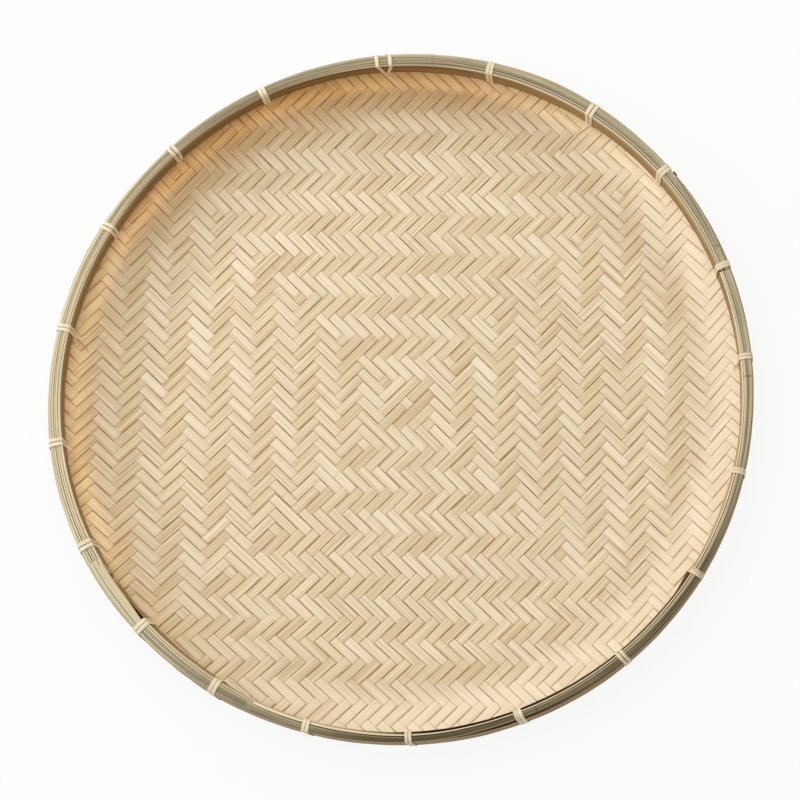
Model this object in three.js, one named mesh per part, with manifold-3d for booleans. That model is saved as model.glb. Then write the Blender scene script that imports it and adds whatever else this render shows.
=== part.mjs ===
// A round, shallow winnowing tray of split bamboo, in millimetres, +Z up. The origin lies on the
// surface that the tray stands on, under the middle of its flat floor.

import * as THREE from 'three';
import { mergeVertices } from 'three/addons/utils/BufferGeometryUtils.js';
import Module from 'manifold-3d';

const wasm = await Module();
wasm.setup();

const rad = THREE.MathUtils.degToRad;
const deg = THREE.MathUtils.radToDeg;
const lerp = THREE.MathUtils.lerp;

// Driving dimensions: lengths in millimetres, angles in degrees, plan angles anticlockwise from +X

// The rim as a whole: its outer radius, and the three slight lobes that bending by hand left in it
const rimRadius = 300;
const rimLobe = 1.2;
const rimLobeCount = 3;
const rimLobeAngle = 73;
const hoopLean = 2;
const seatGap = 0.3;

// The woven mat: a flat floor that curves up into a gentle slope and stands up between the hoops
const matThickness = 1.6;
const floorRadius = 195;
const bendRadius = 110;
const wallSlope = 13.5;
const cornerRadius = 2.4;
const matEdgeRecess = 0.4;

// The inner hoop, with a short notch in its face where its lapped end stops short
const innerHoopThickness = 3.7;
const hoopTopHeight = 14;
const innerTipThickness = 1.6;
const innerLapLength = 150;
const innerLapAngle = -145.5;
const innerNotchLength = 9;

// The outer hoop, the taller one, with a notch of the same kind
const outerHoopThickness = 3.9;
const outerHoopDrop = 8;
const outerTipThickness = 1.8;
const outerLapLength = 150;
const outerLapAngle = 40.4;
const outerNotchLength = 8.5;

// The edges of hoops and cap strips are scraped round
const hoopRound = 0.8;
const capRound = 0.5;

// Cap strips over the mat's cut edge, each one wide at its root and split lengthwise beyond it
const capWidth = 9;
const capThickness = 2;
const capOffset = 0.1;
const capSplitWidth = 0.5;
const capSplintCount = 4;
const capButtGap = 0.6;
const rightRootAngle = 20.7;
const rightSplitAngle = -113.3;
const leftRootAngle = -136.3;
const leftSplitAngle = -148.8;
const leftRootTrim = 2.2;
const leftRootTrimAngle = 5;

// Lashings: a flat strip of bamboo skin, wound twice and tied by eye, so unevenly spaced
const stripWidth = 3.2;
const stripThickness = 0.5;
const turnGap = 0.5;
const lashingAngles = [
  93.8, 75.7, 56.9, 40.8, 21.6, 5.6, -13.7, -31.8, -49.9, -69,
  -87.1, -103.9, -120.4, -136.3, -153.1, -171.4, 168.9, 150.2, 133.1, 115,
];

// The first lashing's two turns stand apart on the cap and draw together under the inner hoop
const spreadLashing = 0;
const spreadTurnGap = 8.2;

// Rings are drawn as chords of this many degrees
const chordAngle = 5;

// Places on the ring

// The hoops' section has its own axes: across the thickness, outwards, and up along the leaning
// hoops. Its origin is the mat's middle at the level where the mat turns up between them.
const lean = rad(hoopLean);
const sideReach = matThickness / 2 + seatGap;
const outerFace = sideReach + outerHoopThickness;
const innerFace = -sideReach - innerHoopThickness;
const entryRadius = rimRadius - outerFace * Math.cos(lean) - hoopTopHeight * Math.sin(lean);

// The mat's middle line leaves the floor in a wide arc, runs on at the wall's slope and turns up
// between the hoops in a tight arc.
const slope = rad(wallSlope);
const standing = Math.PI / 2 - lean;
const floorMiddle = matThickness / 2;
const bendEnd = {
  r: floorRadius + bendRadius * Math.sin(slope),
  z: floorMiddle + bendRadius * (1 - Math.cos(slope)),
};
const cornerStart = { r: entryRadius - cornerRadius * (Math.sin(standing) - Math.sin(slope)) };
cornerStart.z = bendEnd.z + (cornerStart.r - bendEnd.r) * Math.tan(slope);
const entryHeight = cornerStart.z + cornerRadius * (Math.cos(slope) - Math.cos(standing));

// From the section's axes to a distance from the middle and a height
function fromSection(across, up) {
  return [
    entryRadius + across * Math.cos(lean) + up * Math.sin(lean),
    entryHeight - across * Math.sin(lean) + up * Math.cos(lean),
  ];
}

// The height, on the section's axes, of the sloping wall's upper or lower surface
function wallHeight(across, side) {
  const climb = slope + lean;
  const start = {
    across: -cornerRadius * (1 - Math.sin(climb)),
    up: -cornerRadius * Math.cos(climb),
  };
  return start.up + (across - start.across) * Math.tan(climb) + side / Math.cos(climb);
}

// A point of the rim or the mat. Only the flat floor keeps clear of the lobes.
const mouthRadius = fromSection(innerFace, 0)[0];
function onRing(angle, radius, z) {
  const lobe = rimLobe * Math.cos(rad(rimLobeCount * (angle - rimLobeAngle)));
  const r = radius + lobe * THREE.MathUtils.smoothstep(radius, floorRadius, mouthRadius);
  return new THREE.Vector3(r * Math.cos(rad(angle)), r * Math.sin(rad(angle)), z);
}

// The same, but between two chord ends the point lies on the chord
function place(angle, radius, z) {
  const first = Math.floor(angle / chordAngle) * chordAngle;
  const half = chordAngle / 2;
  const along = 0.5 + Math.tan(rad(angle - first - half)) / (2 * Math.tan(rad(half)));
  return onRing(first, radius, z).lerp(onRing(first + chordAngle, radius, z), along);
}

// Bodies

function meshGeometry(points, faces) {
  const geometry = new THREE.BufferGeometry();
  const positions = points.flatMap((point) => point.toArray());
  geometry.setAttribute('position', new THREE.Float32BufferAttribute(positions, 3));
  geometry.setIndex(faces);
  return geometry;
}

// Shared corners are merged, and triangles that have shrunk to a line are dropped
function welded(geometry) {
  geometry.deleteAttribute('normal');
  geometry.deleteAttribute('uv');
  const merged = mergeVertices(geometry, 1e-4);
  const index = merged.index.array;
  const kept = [];
  for (let i = 0; i < index.length; i += 3) {
    const [a, b, c] = index.slice(i, i + 3);
    if (a !== b && b !== c && c !== a) kept.push(a, b, c);
  }
  merged.setIndex(kept);
  return merged;
}

function toSolid(geometry) {
  const closed = welded(geometry);
  return new wasm.Manifold(new wasm.Mesh({
    numProp: 3,
    vertProperties: new Float32Array(closed.attributes.position.array),
    triVerts: new Uint32Array(closed.index.array),
  }));
}

function toGeometry(solid) {
  const mesh = solid.getMesh();
  const geometry = new THREE.BufferGeometry();
  geometry.setAttribute('position', new THREE.BufferAttribute(mesh.vertProperties, 3));
  geometry.setIndex(new THREE.BufferAttribute(mesh.triVerts, 1));
  return geometry;
}

// Outlines, each run anticlockwise with the radius to the right, joined from station to station
// and closed by a fan at both ends
function stationBody(outlines) {
  const count = outlines[0].length;
  const faces = [];
  for (let s = 0; s + 1 < outlines.length; s++) {
    for (let k = 0; k < count; k++) {
      const a = s * count + k;
      const b = s * count + (k + 1) % count;
      faces.push(a, a + count, b + count, a, b + count, b);
    }
  }
  const last = (outlines.length - 1) * count;
  for (let k = 1; k + 1 < count; k++) {
    faces.push(0, k, k + 1);
    faces.push(last, last + k + 1, last + k);
  }
  return meshGeometry(outlines.flat(), faces);
}

// The given angles and all chord ends between them
function chordEnds(from, to) {
  const angles = [from];
  const first = Math.floor(from / chordAngle) + 1;
  for (let k = first; k * chordAngle < to; k++) angles.push(k * chordAngle);
  angles.push(to);
  return angles;
}

// An outline given on the section's axes, set at a plan angle
function outlineAt(angle, outline) {
  return outline.map(([across, up]) => place(angle, ...fromSection(across, up)));
}

// A strip along the rim between two angles, its outline a function of the angle
function rimStrip(from, to, outline) {
  return stationBody(chordEnds(from, to).map((angle) => outlineAt(angle, outline(angle))));
}

// The woven mat

// The middle line with the direction in which it runs, from the floor's edge to the cut edge
function matMiddleLine() {
  const line = [];
  const bendSteps = 4;
  for (let i = 0; i <= bendSteps; i++) {
    const angle = slope * i / bendSteps;
    line.push({
      r: floorRadius + bendRadius * Math.sin(angle),
      z: floorMiddle + bendRadius * (1 - Math.cos(angle)),
      angle,
    });
  }
  const cornerSteps = 3;
  for (let i = 0; i <= cornerSteps; i++) {
    const angle = lerp(slope, standing, i / cornerSteps);
    line.push({
      r: cornerStart.r + cornerRadius * (Math.sin(angle) - Math.sin(slope)),
      z: cornerStart.z + cornerRadius * (Math.cos(slope) - Math.cos(angle)),
      angle,
    });
  }
  const [r, z] = fromSection(0, hoopTopHeight - matEdgeRecess);
  line.push({ r, z, angle: standing });
  return line;
}

function matSurface(side) {
  return matMiddleLine().map(({ r, z, angle }) => new THREE.Vector2(
    r - side * Math.sin(angle),
    z + side * Math.cos(angle),
  ));
}

// A lashing's turns lie side by side, so its hole through the mat is as wide as both
const turnPitch = stripWidth + turnGap;
const holeWidth = 2 * stripWidth + turnGap + 2 * seatGap;

function lashingHole(angle) {
  const halfAngle = deg(holeWidth / 2 / mouthRadius);
  const far = innerFace - seatGap - stripThickness - seatGap;
  const above = wallHeight(innerFace, matThickness);
  const below = wallHeight(far, -matThickness);
  const outline = [[far, below], [innerFace, below], [innerFace, above], [far, above]];
  return toSolid(stationBody([
    outlineAt(angle - halfAngle, outline),
    outlineAt(angle + halfAngle, outline),
  ]));
}

function wovenMat() {
  const profile = [
    new THREE.Vector2(0, 0),
    ...matSurface(-matThickness / 2),
    ...matSurface(matThickness / 2).reverse(),
    new THREE.Vector2(0, matThickness),
  ];
  const dish = new THREE.LatheGeometry(profile, 360 / chordAngle);
  dish.rotateX(Math.PI / 2);
  const corners = dish.attributes.position;
  for (let i = 0; i < corners.count; i++) {
    const angle = deg(Math.atan2(corners.getY(i), corners.getX(i)));
    const radius = Math.hypot(corners.getX(i), corners.getY(i));
    const point = onRing(Math.round(angle / chordAngle) * chordAngle, radius, corners.getZ(i));
    corners.setXYZ(i, point.x, point.y, point.z);
  }
  let solid = toSolid(dish);
  for (const angle of lashingAngles) solid = solid.subtract(lashingHole(angle));
  return toGeometry(solid);
}

// The hoops

// A strip bent into a ring with its ends lapped. Depth is measured from the face that shows. The
// front end starts with its tip at the lap's angle, the back end runs on behind it, and ahead of
// the tip the back end alone leaves a notch.
function lappedHoop({ lapAngle, lapLength, thickness, tip, notchLength, outline }) {
  const lap = deg(lapLength / rimRadius);
  const endGap = deg(seatGap / rimRadius);
  const notch = deg(notchLength / rimRadius);
  const share = (angle) => THREE.MathUtils.clamp((angle - lapAngle) / lap, 0, 1);
  const joint = (angle) => lerp(tip, thickness - tip - seatGap, share(angle));
  const front = (angle) => outline(0, joint(angle));
  const back = (angle) => outline(joint(angle - 360) + seatGap, thickness);
  const whole = () => outline(0, thickness);
  const stations = [];
  const add = (from, to, section) => {
    for (const angle of chordEnds(from, to)) stations.push(outlineAt(angle, section(angle)));
  };
  add(lapAngle, lapAngle + lap + endGap, front);
  add(lapAngle + lap + endGap, lapAngle + 360 - notch, whole);
  add(lapAngle + 360 - notch, lapAngle + 360 + lap, back);
  return welded(stationBody(stations));
}

// The inner hoop stands on the mat: its lower edge is shaved to the wall's slope, and beside the
// mat's tight arc it is cut back along a chord of that arc
function innerHoopFoot(across) {
  const climb = slope + lean;
  const clearArc = cornerRadius - matThickness / 2 - seatGap;
  const arcEnd = -cornerRadius + clearArc * Math.sin(climb);
  if (across <= arcEnd) return wallHeight(across, matThickness / 2 + seatGap);
  const chordStart = wallHeight(arcEnd, matThickness / 2 + seatGap);
  return lerp(chordStart, 0, (across - arcEnd) / (-sideReach - arcEnd));
}

function innerHoopOutline(frontDepth, backDepth) {
  const near = innerFace + frontDepth;
  const far = innerFace + backDepth;
  const middle = lerp(near, far, 0.75);
  const round = Math.min(hoopRound, (far - near) / 3);
  return [
    [near, innerHoopFoot(near)],
    [middle, innerHoopFoot(middle)],
    [far, innerHoopFoot(far)],
    [far, hoopTopHeight - round],
    [far - round, hoopTopHeight],
    [near + round, hoopTopHeight],
    [near, hoopTopHeight - round],
  ];
}

function outerHoopOutline(frontDepth, backDepth) {
  const far = outerFace - frontDepth;
  const near = outerFace - backDepth;
  const round = Math.min(hoopRound, (far - near) / 3);
  return [
    [near, -outerHoopDrop],
    [far - round, -outerHoopDrop],
    [far, round - outerHoopDrop],
    [far, hoopTopHeight - round],
    [far - round, hoopTopHeight],
    [near + round, hoopTopHeight],
    [near, hoopTopHeight - round],
  ];
}

function innerHoop() {
  return lappedHoop({
    lapAngle: innerLapAngle,
    lapLength: innerLapLength,
    thickness: innerHoopThickness,
    tip: innerTipThickness,
    notchLength: innerNotchLength,
    outline: innerHoopOutline,
  });
}

function outerHoop() {
  return lappedHoop({
    lapAngle: outerLapAngle,
    lapLength: outerLapLength,
    thickness: outerHoopThickness,
    tip: outerTipThickness,
    notchLength: outerNotchLength,
    outline: outerHoopOutline,
  });
}

// The cap strips

const capInner = capOffset - capWidth / 2;
const capOuter = capOffset + capWidth / 2;
const capFoot = hoopTopHeight + seatGap;
const capTop = capFoot + capThickness;

function capOutline(inner, outer) {
  return [
    [inner, capFoot],
    [outer, capFoot],
    [outer, capTop - capRound],
    [outer - capRound, capTop],
    [inner + capRound, capTop],
    [inner, capTop - capRound],
  ];
}

// A cap strip runs clockwise from its root to its far end, so the far end has the smaller angle.
// The splits are cut right through it, from its far end to the angle where they begin.
function capStrip(farEnd, root, splitFrom, innerEdge) {
  let strip = toSolid(rimStrip(farEnd, root, (angle) => capOutline(innerEdge(angle), capOuter)));
  const splintWidth = capWidth / capSplintCount;
  const beyond = farEnd - deg(capWidth / rimRadius);
  for (let k = 1; k < capSplintCount; k++) {
    const middle = capInner + k * splintWidth;
    const low = capFoot - capRound;
    const high = capTop + capRound;
    const split = rimStrip(beyond, splitFrom, () => [
      [middle - capSplitWidth / 2, low],
      [middle + capSplitWidth / 2, low],
      [middle + capSplitWidth / 2, high],
      [middle - capSplitWidth / 2, high],
    ]);
    strip = strip.subtract(toSolid(split));
  }
  return toGeometry(strip);
}

const halfButt = deg(capButtGap / 2 / rimRadius);

function capStripRight() {
  const root = rightRootAngle - halfButt;
  return capStrip(leftRootAngle + halfButt, root, rightSplitAngle, () => capInner);
}

// Near its root the left strip is trimmed along its inner edge, which leaves a slim open wedge
function capStripLeft() {
  const root = leftRootAngle - halfButt;
  const trimmed = (angle) => {
    const share = THREE.MathUtils.clamp(1 - (root - angle) / leftRootTrimAngle, 0, 1);
    return capInner + leftRootTrim * share;
  };
  return capStrip(rightRootAngle + halfButt - 360, root, leftSplitAngle, trimmed);
}

// The lashings

// The bundle that the strip is drawn tight round: from under the outer hoop to the hole through the
// mat, up the inner face, over the cap and down the outer face
function lashedBundle() {
  const under = wallHeight(innerFace, -matThickness / 2);
  const low = Math.min(under - hoopRound, -outerHoopDrop);
  return [
    [0, lerp(low, -outerHoopDrop, 0.5)],
    [innerFace + hoopRound, low],
    [innerFace, low + hoopRound],
    [innerFace, wallHeight(innerFace, matThickness)],
    [innerFace, hoopTopHeight - hoopRound],
    [capInner, capTop - capRound],
    [capInner + capRound, capTop],
    [capOuter - capRound, capTop],
    [capOuter, capTop - capRound],
    [outerFace, hoopTopHeight - hoopRound],
    [outerFace, hoopRound - outerHoopDrop],
    [outerFace - hoopRound, -outerHoopDrop],
  ];
}

const stepAtHole = 2.5;
const stepOnCap = 6.5;

// Each corner moves out along the line that halves it, until both its sides have moved by reach
function movedOut(loop, reach) {
  return loop.map((corner, i) => {
    const before = loop.at(i - 1);
    const after = loop[(i + 1) % loop.length];
    const sides = [[before, corner], [corner, after]].map(([from, to]) => (
      new THREE.Vector2(from[1] - to[1], to[0] - from[0]).normalize()
    ));
    const halving = sides[0].clone().add(sides[1]).normalize();
    const distance = reach / halving.dot(sides[0]);
    return { across: corner[0], up: corner[1], halving, distance };
  });
}

// One unbroken strip, wound round twice. Its start and end are tucked under the outer hoop, its two
// turns lie evenly about the lashing's angle in the hole and on the cap, and it moves on sideways
// from one turn to the next down the outer face.
function lashing(angle, gapOnCap) {
  const path = movedOut(lashedBundle(), seatGap + stripThickness / 2);
  const steps = 2 * path.length;
  const outlines = [];
  for (let step = 0; step <= steps; step++) {
    const { across, up, halving, distance } = path[step % path.length];
    const onCap = THREE.MathUtils.smoothstep(up, 0, hoopTopHeight);
    const gap = lerp(turnGap, gapOnCap, onCap);
    const centred = lerp(stepAtHole, stepOnCap, onCap);
    const sideways = ((step - centred) / path.length - 0.5) * (stripWidth + gap);
    const scale = distance / (seatGap + stripThickness / 2);
    const corner = (edge, depth) => {
      const moved = distance + depth * stripThickness / 2 * scale;
      const turned = deg((sideways + edge * stripWidth / 2) / rimRadius);
      return place(angle + turned, ...fromSection(across + halving.x * moved, up + halving.y * moved));
    };
    outlines.push([corner(-1, -1), corner(-1, 1), corner(1, 1), corner(1, -1)]);
  }
  return { geometry: stationBody(outlines), outlines, stepsPerTurn: path.length };
}

// The least distance between two turns of one strip, taken between their edges' points
function leastTurnGap({ outlines, stepsPerTurn }) {
  let least = Infinity;
  for (let step = 0; step + stepsPerTurn < outlines.length; step++) {
    for (const point of outlines[step]) {
      for (const other of outlines[step + stepsPerTurn]) {
        least = Math.min(least, point.distanceTo(other));
      }
    }
  }
  return least;
}

// The tray

const finishes = {
  mat: new THREE.MeshStandardMaterial({ color: 0xe6d2a4, roughness: 0.62, metalness: 0 }),
  innerHoop: new THREE.MeshStandardMaterial({ color: 0xa98b58, roughness: 0.6, metalness: 0 }),
  outerHoop: new THREE.MeshStandardMaterial({ color: 0xab9166, roughness: 0.6, metalness: 0 }),
  cap: new THREE.MeshStandardMaterial({ color: 0xa09a70, roughness: 0.45, metalness: 0 }),
  lashing: new THREE.MeshStandardMaterial({ color: 0xe9dbb8, roughness: 0.5, metalness: 0 }),
};

const tray = new THREE.Group();

function addPart(name, geometry, material) {
  const mesh = new THREE.Mesh(geometry, material);
  mesh.name = name;
  tray.add(mesh);
}

addPart('woven_mat', wovenMat(), finishes.mat);
addPart('inner_hoop', innerHoop(), finishes.innerHoop);
addPart('outer_hoop', outerHoop(), finishes.outerHoop);
addPart('cap_strip_left', capStripLeft(), finishes.cap);
addPart('cap_strip_right', capStripRight(), finishes.cap);

const turnGaps = lashingAngles.map((angle, i) => {
  const winding = lashing(angle, i === spreadLashing ? spreadTurnGap : turnGap);
  const number = String(i + 1).padStart(2, '0');
  addPart(`lashing_${number}`, winding.geometry, finishes.lashing);
  return leastTurnGap(winding);
});
console.log('least gap between the turns of a lashing, mm:', Math.min(...turnGaps).toFixed(2));

export default tray;
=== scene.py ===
# %% [markdown]
# # A bamboo winnowing tray
# Two hoops of split bamboo hold a mat that is woven from about 140 flat strips and pressed into a
# shallow dish. Splints cap the mat's cut edge, and twenty ties of bamboo skin hold it all together.
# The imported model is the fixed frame: it has the same parts as plain solids, in metres, with the
# floor of the tray on the level z = 0. Each of them is replaced here by a detailed piece that keeps
# its place, because the solids' rings are drawn as chords and their mat has no strips.

# %% Loading the frame
import math

import bpy
import numpy as np
from mathutils import Matrix, Vector


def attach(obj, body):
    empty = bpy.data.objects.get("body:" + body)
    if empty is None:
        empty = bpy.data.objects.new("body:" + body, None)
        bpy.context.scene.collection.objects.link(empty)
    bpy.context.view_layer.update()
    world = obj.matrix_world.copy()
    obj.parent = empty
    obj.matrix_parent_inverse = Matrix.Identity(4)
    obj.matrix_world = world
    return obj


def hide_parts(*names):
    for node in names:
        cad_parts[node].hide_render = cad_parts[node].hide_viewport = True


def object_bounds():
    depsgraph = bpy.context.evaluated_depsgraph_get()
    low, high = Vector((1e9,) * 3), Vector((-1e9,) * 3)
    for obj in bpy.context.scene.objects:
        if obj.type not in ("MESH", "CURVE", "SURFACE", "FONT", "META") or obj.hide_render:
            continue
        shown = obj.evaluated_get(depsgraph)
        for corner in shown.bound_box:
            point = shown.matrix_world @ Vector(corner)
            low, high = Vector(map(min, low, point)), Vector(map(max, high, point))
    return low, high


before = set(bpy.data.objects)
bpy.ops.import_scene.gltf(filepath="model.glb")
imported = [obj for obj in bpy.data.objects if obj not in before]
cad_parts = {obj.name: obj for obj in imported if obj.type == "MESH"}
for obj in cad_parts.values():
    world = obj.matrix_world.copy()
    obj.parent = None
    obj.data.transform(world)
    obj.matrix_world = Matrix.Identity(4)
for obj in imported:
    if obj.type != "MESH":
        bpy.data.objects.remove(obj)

cad_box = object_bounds()
cad_size = [round(1000 * length, 1) for length in cad_box[1] - cad_box[0]]
print("frame:", len(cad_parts), "solids,", cad_size, "mm")

# %% [markdown]
# ## The camera
# The tray is seen from almost straight above, from far away: the far rim looks hardly smaller than
# the near one. A long lens at 3.3 m gives that. The camera leans 15.5 degrees off the vertical,
# towards the lower right of the picture, which is why the inner hoop's face shows at the upper left
# and hides at the lower right. It also rolls a little, because the picture was not taken quite
# level. An orthographic camera would be simpler, but the far rim really is slightly smaller. A
# separate program found the lean, the direction, the roll, the distance and the shift: it fitted the
# weave's direction and the rim's outline to the picture.

# %% The camera
camera_aim = Vector((0.0, 0.0, 0.0375))
camera_lean = math.radians(15.5)
camera_side = math.radians(-66)
camera_roll = math.radians(1.37)
camera_distance = 3.2967
lens_length = 175.5

back = Vector((
    math.sin(camera_lean) * math.cos(camera_side),
    math.sin(camera_lean) * math.sin(camera_side),
    math.cos(camera_lean),
))
level_right = Vector((0, 1, 0)).cross(back).normalized()
level_up = back.cross(level_right)
right = level_right * math.cos(camera_roll) + level_up * math.sin(camera_roll)
up = level_up * math.cos(camera_roll) - level_right * math.sin(camera_roll)

camera_data = bpy.data.cameras.new("camera")
camera_data.lens = lens_length
camera_data.sensor_width = 36
camera_data.shift_x = 0.0018
camera_data.shift_y = -0.0112
camera_data.clip_end = 50
camera = bpy.data.objects.new("camera", camera_data)
bpy.context.scene.collection.objects.link(camera)
camera.matrix_world = Matrix((right, up, back)).transposed().to_4x4()
camera.location = camera_aim + back * camera_distance
bpy.context.scene.camera = camera
print("camera:", round(lens_length, 1), "mm lens,", camera_distance, "m from the rim's middle")

# %% [markdown]
# ## Light
# The tray's slope at the upper left is in half shade and the one at the lower right is bright, so
# the main light comes from the upper left, about halfway up. It is a large soft panel, and the
# white world fills the shade. Together they light a level surface so that a colour looks about as
# it is written.

# %% The lamp and the world
lamp_distance = 2.6
lamp_direction = Vector((-0.79, 0.62, 1.25)).normalized()
lamp_data = bpy.data.lights.new("soft_panel", "AREA")
lamp_data.shape = "SQUARE"
lamp_data.size = 3.0
lamp_data.energy = 56
lamp_data.color = (1.0, 0.985, 0.96)
lamp = bpy.data.objects.new("soft_panel", lamp_data)
bpy.context.scene.collection.objects.link(lamp)
lamp.matrix_world = Matrix.Translation(lamp_direction * lamp_distance) @ (
    lamp_direction.to_track_quat("Z", "Y").to_matrix().to_4x4()
)

world = bpy.data.worlds.new("white_room")
bpy.context.scene.world = world
world.use_nodes = True
world_fill = world.node_tree.nodes["Background"]
world_fill.inputs["Color"].default_value = (1.0, 0.97, 0.93, 1)
world_fill.inputs["Strength"].default_value = 0.525
bpy.context.scene.view_settings.view_transform = "Standard"
print("lamp:", lamp_data.energy, "W at", lamp_distance, "m")

# %% [markdown]
# ## A small language for materials
# A material is a network of nodes. Written by hand that takes many lines, so a node's output is
# wrapped in a class whose + - * / build Math nodes. Every other kind of node comes from one method
# that is given the node's type, its settings and its inputs.

# %% Fields and finishes
class Field:
    """A node's output that can be calculated with."""

    def __init__(self, finish, socket):
        self.finish, self.socket = finish, socket

    def maths(self, operation, *others):
        inputs = dict(enumerate([self, *others]))
        return self.finish.node("Math", {"operation": operation}, inputs)

    def turned(self, operation, other):
        return self.finish.node("Math", {"operation": operation}, {0: other, 1: self})

    def __add__(self, other):
        return self.maths("ADD", other)

    def __sub__(self, other):
        return self.maths("SUBTRACT", other)

    def __rsub__(self, other):
        return self.turned("SUBTRACT", other)

    def __mul__(self, other):
        return self.maths("MULTIPLY", other)

    def __truediv__(self, other):
        return self.maths("DIVIDE", other)

    __radd__, __rmul__ = __add__, __mul__

    def between(self, low, high):
        """Rises smoothly from 0 at low to 1 at high."""
        settings = {"interpolation_type": "SMOOTHSTEP"}
        return self.finish.node("MapRange", settings, {0: self, 1: low, 2: high, 3: 0.0, 4: 1.0})


class Finish:
    """A material, its shader and the nodes that feed it."""

    def __init__(self, name, roughness):
        self.material = bpy.data.materials.new(name)
        self.material.use_nodes = True
        self.tree = self.material.node_tree
        self.shader = self.tree.nodes["Principled BSDF"]
        self.shader.inputs["Roughness"].default_value = roughness

    def node(self, kind, settings=None, inputs=None, out=0):
        made = self.tree.nodes.new("ShaderNode" + kind)
        for setting, value in (settings or {}).items():
            setattr(made, setting, value)
        for key, value in (inputs or {}).items():
            if isinstance(value, Field):
                self.tree.links.new(value.socket, made.inputs[key])
            else:
                made.inputs[key].default_value = value
        return Field(self, made.outputs[out])

    def feed(self, socket, field):
        self.tree.links.new(field.socket, self.shader.inputs[socket])

    def attribute(self, name):
        """A number that the mesh carries."""
        return self.node("Attribute", {"attribute_name": name}, out=2)

    def grain(self):
        """How far along the strip and how far across it a point lies, in metres."""
        place = self.node("UVMap", {"uv_map": "Grain"})
        return [self.node("SeparateXYZ", None, {0: place}, out=i) for i in (0, 1)]

    def noise(self, x, y, z, detail=2.0, roughness=0.5):
        place = self.node("CombineXYZ", None, {0: x, 1: y, 2: z})
        return self.node(
            "TexNoise", None,
            {"Vector": place, "Scale": 1.0, "Detail": detail, "Roughness": roughness},
        )

    def mixed(self, share, first, second, blend="MIX"):
        """A colour between two, as a share of the second."""
        settings = {"data_type": "RGBA", "blend_type": blend}
        pair = [c if isinstance(c, Field) else (*c, 1.0) for c in (first, second)]
        return self.node("Mix", settings, {0: share, 6: pair[0], 7: pair[1]}, out=2)

    def scaled(self, colour, amount):
        """A colour made lighter or darker, all channels alike."""
        grey = self.node("CombineColor", None, {0: amount, 1: amount, 2: amount})
        return self.mixed(1.0, colour, grey, "MULTIPLY")

    def bumped(self, height, depth):
        self.feed("Normal", self.node("Bump", None, {"Height": height, "Distance": depth}))


print("the language for materials is ready")
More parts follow.
